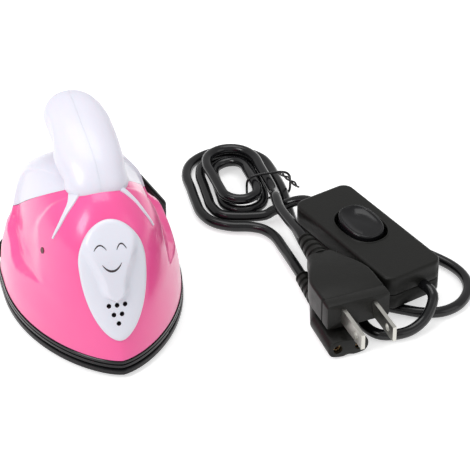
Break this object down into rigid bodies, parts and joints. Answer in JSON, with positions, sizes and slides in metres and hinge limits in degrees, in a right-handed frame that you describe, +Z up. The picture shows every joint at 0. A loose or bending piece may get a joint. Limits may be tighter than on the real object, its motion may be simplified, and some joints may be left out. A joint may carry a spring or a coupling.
{
  "type": "mini craft iron",
  "caption": "Small pink craft iron with a hooked white handle, standing in its powered black base, with a detachable cord set and rocker switch.",
  "frame": {"origin": "bottom centre of the base the iron stands in, measured without the cord set", "axes": "+Z up, -Y towards the nose of iron and base, +X to the right seen from the nose, where the cord set lies"},
  "size_m": [0.1783, 0.1567, 0.0791],
  "materials": {
    "black_base": "satin",
    "rubber_foot": "matte",
    "pink_shell": "glossy",
    "black_switch": "textured",
    "brass": "polished",
    "black_cord": "satin",
    "white_cover": "glossy",
    "heat_mat": "matte",
    "cream_ceramic": "matte",
    "steel": "satin",
    "red_lens": "glossy",
    "red_wire": "satin",
    "black_wire": "satin",
    "sole_metal": "satin"
  },
  "bodies": {
    "base": {"back_plate": "black_base", "base_foot_1": "rubber_foot", "base_foot_2": "rubber_foot", "base_foot_3": "rubber_foot", "base_foot_4": "rubber_foot", "base_tray": "black_base", "connector_body": "black_switch", "connector_contact_left": "brass", "connector_contact_right": "brass", "connector_relief": "black_switch", "contact_blade_left": "brass", "contact_blade_right": "brass", "cord_connector_lead": "black_cord", "cord_hank": "black_cord", "cord_plug_lead": "black_cord", "cord_switch_lead": "black_cord", "cord_tie": "black_cord", "heat_sheet": "heat_mat", "housing_screw_left": "steel", "housing_screw_right": "steel", "inlet_housing": "black_base", "inlet_pin_left": "brass", "inlet_pin_right": "brass", "inlet_socket": "black_base", "plug_blade_left": "steel", "plug_blade_right": "steel", "plug_body": "black_switch", "plug_relief": "black_switch", "rocker_pin": "steel", "switch_base": "black_switch", "switch_cover": "black_switch", "switch_terminal_front": "brass", "switch_terminal_rear": "brass"},
    "iron": {"body_shell": "pink_shell", "contact_pad_left": "brass", "contact_pad_right": "brass", "face_panel": "white_cover", "handle_left": "white_cover", "handle_right": "white_cover", "heat_skirt": "black_base", "heater_block": "cream_ceramic", "heater_clamp": "steel", "indicator_lamp": "red_lens", "indicator_lens": "red_lens", "lead_wire_left": "red_wire", "lead_wire_right": "black_wire", "rear_cap": "white_cover", "side_strip_left": "white_cover", "side_strip_right": "white_cover", "sole_screw_1": "steel", "sole_screw_2": "steel", "sole_screw_3": "steel", "soleplate": "sole_metal", "thermal_fuse": "cream_ceramic", "thermostat": "steel"},
    "rocker": {"switch_rocker": "black_switch"}
  },
  "joints": [
    {"name": "iron_lift", "type": "slide", "parent": "base", "child": "iron", "axis": [0, 0, 1], "range_m": [0, 0.06]},
    {"name": "switch_rocker_tilt", "type": "hinge", "parent": "base", "child": "rocker", "pos_m": [0.10457, -0.00123, 0.015], "axis": [0.9426, 0.3338, 0], "range_deg": [-14, 0]}
  ]
}
